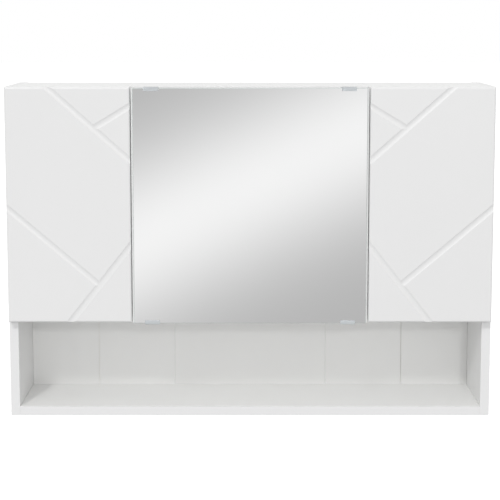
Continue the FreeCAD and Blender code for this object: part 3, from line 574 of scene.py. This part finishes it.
def extrude(shape: bmesh.types.BMesh, corners: Iterable[Triple], reach: Triple) -> None:
    """Draw a flat outline out into a solid.

    Args:
        shape: The mesh that takes the solid.
        corners: Points of the outline, in order.
        reach: How far it is drawn along the three axes.
    """
    face = shape.faces.new([shape.verts.new(corner) for corner in corners])
    grown = bmesh.ops.extrude_face_region(shape, geom=[face])["geom"]
    moved = [item for item in grown if isinstance(item, bmesh.types.BMVert)]
    bmesh.ops.translate(shape, verts=moved, vec=reach)
    bmesh.ops.recalc_face_normals(shape, faces=shape.faces)


def merge_into(shape: bmesh.types.BMesh, other: bmesh.types.BMesh) -> None:
    """Add another bmesh to a shape and free it."""
    mesh = to_mesh("passing", other)
    shape.from_mesh(mesh)
    bpy.data.meshes.remove(mesh)


def cut_mesh(solid: bmesh.types.BMesh, cutter: bmesh.types.BMesh) -> bpy.types.Mesh:
    """Cut one closed bmesh out of another and free both.

    Args:
        solid: The shape that stays.
        cutter: The shape that is taken away.

    Returns:
        The result as a mesh.
    """
    kept = link("cut_solid", to_mesh("cut_solid", solid))
    tool = link("cut_tool", to_mesh("cut_tool", cutter))
    change = kept.modifiers.new("cut", "BOOLEAN")
    change.operation = "DIFFERENCE"
    change.solver = "EXACT"
    change.use_self = True
    change.object = tool
    shown = kept.evaluated_get(bpy.context.evaluated_depsgraph_get())
    result = bpy.data.meshes.new_from_object(shown)
    for helper in (kept, tool):
        mesh = helper.data
        bpy.data.objects.remove(helper)
        bpy.data.meshes.remove(mesh)
    return result


def softened_panel(node: str, radius: float) -> bmesh.types.BMesh:
    """Copy of a panel whose long outer edges are slightly broken, as edged board is.

    Args:
        node: The solid panel.
        radius: Radius on the edges.

    Returns:
        The copy as a bmesh.
    """
    shape = bmesh.new()
    shape.from_mesh(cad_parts[node].data)
    bmesh.ops.remove_doubles(shape, verts=shape.verts, dist=WELD)
    bmesh.ops.dissolve_limit(shape, angle_limit=FLAT, verts=shape.verts, edges=shape.edges)
    low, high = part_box(node)

    def sides(point: Vector) -> set[str]:
        """Outer faces of the panel that a point lies on."""
        return {end + axis for end, corner in (("low_", low), ("high_", high)) for axis in "xyz"
                if abs(getattr(point, axis) - getattr(corner, axis)) < NEAR}

    edges = [edge for edge in shape.edges
             if len(sides(edge.verts[0].co) & sides(edge.verts[1].co)) >= 2]
    bevel(shape, edges, radius, EDGE_STEPS)
    return shape


def facing(place: Triple, direction: Triple, spin: float) -> Matrix:
    """Matrix that sets a screw at a place, its head in a direction, turned by spin degrees."""
    turn = Vector((0.0, 0.0, 1.0)).rotation_difference(Vector(direction)).to_matrix().to_4x4()
    return Matrix.Translation(place) @ turn @ Matrix.Rotation(math.radians(spin), 4, "Z")


@dataclass(frozen=True)
class Carcass:
    """Side panels, level panels, dividers, shelves and back of the cabinet."""

    edge_radius: float = 0.5 * MM
    side_panels: tuple[str, ...] = ("left_side_panel", "right_side_panel")
    level_panels: tuple[str, ...] = ("top_panel", "niche_top_panel")
    dividers: tuple[str, ...] = ("left_divider", "right_divider")
    shelves: tuple[str, ...] = ("left_shelf", "centre_shelf", "right_shelf")
    niche_floor: str = "bottom_panel"
    back_boards: tuple[str, ...] = ("back_board_left", "back_board_centre", "back_board_right")
    tape_half: float = 13.0 * MM
    filler_half: float = 0.47 * MM
    filler_fronts: Span = (-2.3 * MM, -1.5 * MM)

    def build(self) -> None:
        """Show the panels with softened edges, fill the joints and dress the rest."""
        # painted shade: the side panels get the darker copy of the carcass foil
        for name in self.side_panels:
            self.show_panel(name, PAINTED_SHADE_SIDE_FOIL)
        for name in self.level_panels + self.dividers + self.shelves:
            self.show_panel(name, CARCASS_FOIL)
        # painted light: the niche floor gets the lighter copy of the carcass foil
        self.show_panel(self.niche_floor, PAINTED_LIGHT_FLOOR_FOIL)
        dress(["hanging_rail"], CARCASS_FOIL)
        dress(self.back_boards, BACK_LACQUER)
        self.fill_joints("back_joint_tapes")
        dress(["back_nails"], ZINC)

    def show_panel(self, node: str, finish: WhiteFoil) -> None:
        """Stand a softened copy in for one panel."""
        shape = softened_panel(node, self.edge_radius)
        add_piece(node + "_edged", shape, finish, Body.CARCASS, [node])

    def fill_joints(self, node: str) -> None:
        """Stand tapes with a bead of filler in the joints in for the plain ones."""
        low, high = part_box(node)
        middles = (low.x + self.tape_half, high.x - self.tape_half)
        tapes = bmesh.new()
        for middle, filler_front in zip(middles, self.filler_fronts):
            profile = (
                (-self.tape_half, low.y),
                (-self.filler_half, low.y),
                (-self.filler_half, filler_front),
                (self.filler_half, filler_front),
                (self.filler_half, low.y),
                (self.tape_half, low.y),
                (self.tape_half, high.y),
                (-self.tape_half, high.y),
            )
            corners = [(middle + x, y, low.z) for x, y in profile]
            extrude(tapes, corners, (0.0, 0.0, high.z - low.z))
        add_piece(node + "_filled", tapes, JOINT_TAPE, Body.CARCASS, [node])


@dataclass(frozen=True)
class SideDoors:
    """The two grooved doors beside the mirror."""

    doors: tuple[str, ...] = ("left_door", "right_door")
    bumpers: tuple[str, ...] = ("left_bumpers", "right_bumpers")

    def build(self) -> None:
        """Dress both doors and their bumpers."""
        dress(self.doors, DOOR_FOIL)
        dress(self.bumpers, BUMPER)


@dataclass(frozen=True)
class MirrorDoor:
    """Carrier board, mirror glass and its four moulded clips."""

    clip_offset: float = CLIP_OFFSET
    clip_width: float = 24.0 * MM
    clip_plate: float = 2.0 * MM
    lip: float = 4.5 * MM
    lip_front: float = -173.1 * MM
    flat_rear: float = -157.0 * MM
    door_low: float = -343.5 * MM
    door_high: float = 43.0 * MM
    lip_corner: float = 0.5 * MM
    outer_bend: float = 1.4 * MM
    moulded_edge: float = 0.35 * MM

    def build(self) -> None:
        """Dress board and glass and mould the clips."""
        dress(["mirror_board"], DOOR_FOIL)
        dress(["mirror_glass"], MIRROR)
        dress(["mirror_bumpers"], BUMPER)
        clips = bmesh.new()
        for side in (-1, 1):
            for level, up in ((self.door_high, 1), (self.door_low, -1)):
                self.add_clip(clips, side * self.clip_offset, level, up)
        bmesh.ops.recalc_face_normals(clips, faces=clips.faces)
        add_piece("moulded_mirror_clips", clips, CLIP_PLASTIC, Body.MIRROR_DOOR,
                  ["mirror_clips"])

    def add_clip(self, shape: bmesh.types.BMesh, x: float, level: float, up: int) -> None:
        """Mould one clip from its angle profile.

        Args:
            shape: The mesh that takes the clip.
            x: Middle of the clip.
            level: Edge of the door that it sits on.
            up: 1 for an upper clip, -1 for a lower one.
        """
        profile = (
            (self.lip_front, -self.lip),
            (self.lip_front + self.clip_plate, -self.lip),
            (self.lip_front + self.clip_plate, 0.0),
            (self.flat_rear, 0.0),
            (self.flat_rear, self.clip_plate),
            (self.lip_front, self.clip_plate),
        )
        clip = bmesh.new()
        start = -self.clip_width / 2
        extrude(clip, [(start, y, z) for y, z in profile], (self.clip_width, 0.0, 0.0))
        lip_corners = [edge for edge in clip.edges
                       if all(vert.co.z < NEAR - self.lip for vert in edge.verts)
                       and abs(edge.verts[0].co.x - edge.verts[1].co.x) < NEAR]
        bevel(clip, lip_corners, self.lip_corner, ROUND_STEPS)
        bend = [edge for edge in clip.edges
                if all(abs(vert.co.y - self.lip_front) < NEAR
                       and abs(vert.co.z - self.clip_plate) < NEAR for vert in edge.verts)]
        bevel(clip, bend, self.outer_bend, ROUND_STEPS)
        sharp = [edge for edge in clip.edges
                 if edge.is_manifold and edge.calc_face_angle() > SHARP]
        bevel(clip, sharp, self.moulded_edge, EDGE_STEPS)
        turn = Matrix.Translation((x, 0.0, level)) @ Matrix.Diagonal((1.0, 1.0, up, 1.0))
        bmesh.ops.transform(clip, matrix=turn, verts=clip.verts)
        merge_into(shape, clip)


@dataclass(frozen=True)
class Screw:
    """A screw with a cross recess; it is seated on the plane z = 0 and its head points to +Z."""

    head: ScrewHead
    head_radius: float
    head_height: float
    shank_radius: float
    shank: float
    recess_width: float
    recess_span: float = 1.1
    recess_depth: float = 0.6
    steps: int = 20

    def outline(self) -> list[tuple[float, float]]:
        """Half outline of the screw as radius and height, from the head's middle to the tip."""
        head = [(r * self.head_radius, z * self.head_height) for r, z in self.head.value]
        radius = self.shank_radius
        return head + [(radius, 0.0), (radius, radius - self.shank), (0.0, -self.shank)]

    def template(self) -> bpy.types.Mesh:
        """One screw with its recess, as a mesh."""
        solid = bmesh.new()
        points = [solid.verts.new((r, 0.0, z)) for r, z in self.outline()]
        chain = [solid.edges.new(pair) for pair in zip(points, points[1:])]
        bmesh.ops.spin(solid, geom=points + chain, cent=(0.0, 0.0, 0.0), axis=(0.0, 0.0, 1.0),
                       angle=math.tau, steps=self.steps, use_merge=True)
        bmesh.ops.remove_doubles(solid, verts=solid.verts, dist=WELD)
        bmesh.ops.recalc_face_normals(solid, faces=solid.faces)
        cutter = bmesh.new()
        span = self.recess_span * self.head_radius
        for long, wide in ((span, self.recess_width), (self.recess_width, span)):
            bar = bmesh.ops.create_cube(cutter, size=1.0)["verts"]
            size = (long, wide, 2 * self.recess_depth * self.head_height)
            bmesh.ops.scale(cutter, vec=size, verts=bar)
            bmesh.ops.translate(cutter, vec=(0.0, 0.0, self.head_height), verts=bar)
        return cut_mesh(solid, cutter)

    def set_at(self, places: Sequence[Matrix], body: Body, node: str) -> None:
        """Place copies of the screw as one piece.

        Args:
            places: One matrix per screw.
            body: Body that carries them.
            node: The solid part that they are shown for.
        """
        template = self.template()
        group = bmesh.new()
        for place in places:
            copy = bmesh.new()
            copy.from_mesh(template)
            bmesh.ops.transform(copy, matrix=place, verts=copy.verts)
            merge_into(group, copy)
        bpy.data.meshes.remove(template)
        add_piece(node + "_crossed", group, ZINC, body, [node])


PLATE_SCREW = Screw(
    ScrewHead.PAN,
    head_radius=3.4 * MM,
    head_height=1.8 * MM,
    shank_radius=1.69 * MM,
    shank=9.0 * MM,
    recess_width=0.9 * MM,
)
CLAMP_SCREW = Screw(
    ScrewHead.PAN,
    head_radius=3.4 * MM,
    head_height=1.8 * MM,
    shank_radius=1.94 * MM,
    shank=7.4 * MM,
    recess_width=1.1 * MM,
)
CLIP_SCREW = Screw(
    ScrewHead.COUNTERSUNK,
    head_radius=2.2 * MM,
    head_height=1.05 * MM,
    shank_radius=1.14 * MM,
    shank=13.0 * MM,
    recess_width=0.55 * MM,
)


@dataclass(frozen=True)
class HingedDoor:
    """Where one door's two cup hinges sit."""

    name: str
    body: Body
    edge: float
    carrier: float
    inward: int


@dataclass(frozen=True)
class Hinges:
    """Cup hinges of the three doors and their screws."""

    heights: Span = (-272.0 * MM, -27.0 * MM)
    cup_across: float = 26.5 * MM
    cup_seat: float = -154.0 * MM
    cup_pitch: float = 48.0 * MM
    cup_turns: Span = (15.0, 50.0)
    plate_wing: float = 2.0 * MM
    plate_row: float = -108.0 * MM
    plate_pitch: float = 28.0 * MM
    plate_turns: Span = (10.0, 60.0)
    arm_face: float = 21.8 * MM
    clamp_row: float = -105.0 * MM
    clamp_turns: Span = (25.0, 65.0)
    doors: tuple[HingedDoor, ...] = (
        HingedDoor("left", Body.LEFT_DOOR, -398.0 * MM, -385.0 * MM, 1),
        HingedDoor("mirror", Body.MIRROR_DOOR, -190.5 * MM, -185.1 * MM, 1),
        HingedDoor("right", Body.RIGHT_DOOR, 398.0 * MM, 385.0 * MM, -1),
    )

    def build(self) -> None:
        """Dress the hinges and set their screws."""
        dress([door.name + "_hinge_cups" for door in self.doors], HINGE_NICKEL)
        dress([door.name + "_hinge_pins" for door in self.doors], ZINC)
        dress(["hinge_arms", "side_hinge_plates", "mirror_hinge_plates"], HINGE_NICKEL)
        plate_places, clamp_places = [], []
        for door in self.doors:
            PLATE_SCREW.set_at(self.cup_screws(door), door.body, door.name + "_cup_screws")
            plate_places += self.plate_screws(door)
            clamp_places += self.clamp_screws(door)
        PLATE_SCREW.set_at(plate_places, Body.CARCASS, "hinge_plate_screws")
        CLAMP_SCREW.set_at(clamp_places, Body.CARCASS, "hinge_arm_screws")

    def cup_screws(self, door: HingedDoor) -> list[Matrix]:
        """Places of a door's four cup screws."""
        x = door.edge + door.inward * self.cup_across
        return self.pairs(x, self.cup_seat, self.cup_pitch, (0, 1, 0), self.cup_turns)

    def plate_screws(self, door: HingedDoor) -> list[Matrix]:
        """Places of the four screws of a door's mounting plates."""
        x = door.carrier + door.inward * self.plate_wing
        towards = (door.inward, 0, 0)
        return self.pairs(x, self.plate_row, self.plate_pitch, towards, self.plate_turns)

    def pairs(self, x: float, y: float, pitch: float, towards: Triple, turns: Span) -> list[Matrix]:
        """Places of two screws, one above the other, at both hinges of a door."""
        return [facing((x, y, height + side * pitch / 2), towards, turn)
                for height in self.heights for side, turn in zip((-1, 1), turns)]

    def clamp_screws(self, door: HingedDoor) -> list[Matrix]:
        """Places of the screws that clamp a door's two arms."""
        x = door.edge + door.inward * self.arm_face
        return [facing((x, self.clamp_row, height), (door.inward, 0, 0), turn)
                for height, turn in zip(self.heights, self.clamp_turns)]


@dataclass(frozen=True)
class Fittings:
    """Cams, bolts, dowels, shelf pins and clip screws."""

    clip_offset: float = CLIP_OFFSET
    clip_screw_row: float = -161.5 * MM
    clip_low: float = -344.5 * MM
    clip_high: float = 44.0 * MM
    clip_turns: Span = (20.0, 65.0)

    def build(self) -> None:
        """Dress the fittings and set the clip screws."""
        dress(["cams"], CAM_ZINC)
        dress(["cam_bolts", "shelf_pins"], ZINC)
        dress(["wood_dowels"], BEECH)
        places = []
        for x in (-self.clip_offset, self.clip_offset):
            for z, up, turn in zip((self.clip_high, self.clip_low), (1, -1), self.clip_turns):
                places.append(facing((x, self.clip_screw_row, z), (0, 0, up), turn))
        CLIP_SCREW.set_at(places, Body.MIRROR_DOOR, "clip_screws")


@dataclass(frozen=True)
class Lamp:
    """A round soft lamp that shines on the middle of the cabinet's front."""

    name: str
    direction: Triple
    distance: float
    size: float
    watts: float

    def build(self) -> None:
        """Set the lamp up; its light and its gloss show, but the camera doesn't see it."""
        lamp = bpy.data.lights.new(self.name, "AREA")
        lamp.shape = "DISK"
        lamp.size = self.size
        lamp.energy = self.watts
        item = link(self.name, lamp)
        towards = Vector(self.direction).normalized()
        item.location = Vector(LIT_POINT) + towards * self.distance
        item.rotation_mode = "QUATERNION"
        item.rotation_quaternion = (-towards).to_track_quat("-Z", "Y")
        item.visible_camera = False


@dataclass(frozen=True)
class Studio:
    """Pale floor, white surroundings, two soft lamps, a reflector for the mirror and the camera."""

    floor_level: float = -1.75
    floor_half: float = 60.0
    floor_grey: float = 0.62
    floor_glow: float = 0.75
    sky_level: float = 0.772
    gloss_share: float = 0.45
    key: Lamp = Lamp("soft_key", (-0.316, -1.0, 0.87), distance=10.0, size=1.2, watts=276.0)
    front: Lamp = Lamp("front_fill", (0.12, -1.0, 0.30), distance=10.0, size=0.6, watts=90.0)
    camera_place: Triple = (0.0, -2.472, 0.153)
    camera_tilt: float = 7.23
    camera_lens: float = 102.43
    camera_sensor: float = 36.0
    camera_shift: float = -0.10
    card_centre: Triple = (0.0, -0.171, 0.0)
    card_radius: float = 1.6
    card_low: float = -1.7
    card_high: float = 0.25
    card_steps: int = 48
    card_levels: Span = (0.498, 0.966)
    band_middle: float = -0.301
    band_slope: float = 0.486
    band_width: float = 0.230

    def build(self) -> None:
        """Set everything up round the cabinet."""
        bpy.context.scene.view_settings.view_transform = "Standard"
        self.add_world()
        self.add_floor()
        self.add_card()
        self.key.build()
        self.front.build()
        self.add_camera()

    def seen(self, graph: Graph) -> bpy.types.NodeSocket:
        """Share of the look for the eye: 1 for direct and clear sight, less for gloss, else 0."""
        path = graph.add("ShaderNodeLightPath").outputs
        direct = graph.math("MAXIMUM", path["Is Camera Ray"], path["Is Transmission Ray"])
        gloss = graph.math("MULTIPLY", path["Is Glossy Ray"], self.gloss_share)
        return graph.math("MAXIMUM", direct, gloss)

    def blend(self, graph: Graph, light: bpy.types.Node,
              look: bpy.types.Node) -> bpy.types.NodeSocket:
        """Shader that lights the cabinet in one way and looks another way to the eye."""
        inputs = {0: self.seen(graph), 1: light.outputs[0], 2: look.outputs[0]}
        return graph.add("ShaderNodeMixShader", inputs).outputs[0]

    def add_world(self) -> None:
        """White to the eye, a plain grey level as light."""
        world = bpy.data.worlds.new("studio_world")
        world.use_nodes = True
        bpy.context.scene.world = world
        graph = Graph(world.node_tree)
        light, white = (graph.add("ShaderNodeBackground", {"Color": grey(1.0), "Strength": level})
                        for level in (self.sky_level, 1.0))
        graph.add("ShaderNodeOutputWorld", {"Surface": self.blend(graph, light, white)})

    def add_floor(self) -> None:
        """Pale floor that keeps a faint shadow and reads as white."""
        shape = bmesh.new()
        bmesh.ops.create_grid(shape, x_segments=1, y_segments=1, size=self.floor_half)
        bmesh.ops.translate(shape, verts=shape.verts, vec=(0.0, 0.0, self.floor_level))
        material, graph = blank_material("studio_floor")
        matt = graph.add("ShaderNodeBsdfDiffuse", {"Color": grey(self.floor_grey)})
        glow = graph.add("ShaderNodeEmission", {"Color": grey(1.0), "Strength": self.floor_glow})
        pale = graph.add("ShaderNodeAddShader", {0: matt.outputs[0], 1: glow.outputs[0]})
        graph.add("ShaderNodeOutputMaterial", {"Surface": self.blend(graph, matt, pale)})
        self.add_stage("studio_floor", shape, material)

    def add_stage(self, name: str, shape: bmesh.types.BMesh,
                  material: bpy.types.Material) -> bpy.types.Object:
        """Link a bmesh as a stage object with one material."""
        mesh = to_mesh(name, shape)
        mesh.materials.append(material)
        item = link(name, mesh)
        LOG.info("stage object %s", name)
        return item

    def add_card(self) -> None:
        """Curved reflector that only mirror and gloss see: grey with one bright diagonal band."""
        shape = bmesh.new()
        centre = Vector(self.card_centre)
        foot = shape.verts.new(centre + Vector((-self.card_radius, 0.0, self.card_low)))
        head = shape.verts.new(centre + Vector((-self.card_radius, 0.0, self.card_high)))
        line = shape.edges.new((foot, head))
        bmesh.ops.spin(shape, geom=[foot, head, line], cent=centre, axis=(0.0, 0.0, 1.0),
                       angle=math.pi, steps=self.card_steps)
        material, graph = blank_material("reflector_card")
        level = graph.math("MULTIPLY", graph.along("X"), -self.band_slope)
        level = graph.math("ADD", level, graph.math("SUBTRACT", graph.along("Z"), self.band_middle))
        spread = graph.math("DIVIDE", level, self.band_width * math.hypot(1.0, self.band_slope))
        fall = graph.math("MULTIPLY", graph.math("MULTIPLY", spread, spread), -1.0)
        tone = graph.remap(graph.math("POWER", math.e, fall), self.card_levels)
        glow = graph.add("ShaderNodeEmission", {"Color": grey(1.0), "Strength": tone})
        graph.add("ShaderNodeOutputMaterial", {"Surface": glow.outputs[0]})
        card = self.add_stage("reflector_card", shape, material)
        card.visible_camera = False
        card.visible_diffuse = False
        card.visible_transmission = False
        card.visible_shadow = False
        card.visible_volume_scatter = False

    def add_camera(self) -> None:
        """Camera at the photograph's angle."""
        lens = bpy.data.cameras.new("camera")
        lens.sensor_width = self.camera_sensor
        lens.lens = self.camera_lens
        lens.shift_y = self.camera_shift
        item = link("camera", lens)
        item.location = self.camera_place
        item.rotation_euler = (math.radians(90.0 - self.camera_tilt), 0.0, 0.0)
        bpy.context.scene.camera = item


def main() -> None:
    """Build the studio and dress the cabinet piece by piece."""
    logging.basicConfig(level=logging.INFO, format="%(name)s: %(message)s")
    Studio().build()
    Carcass().build()
    SideDoors().build()
    MirrorDoor().build()
    Hinges().build()
    Fittings().build()


if __name__ == "__main__":
    main()
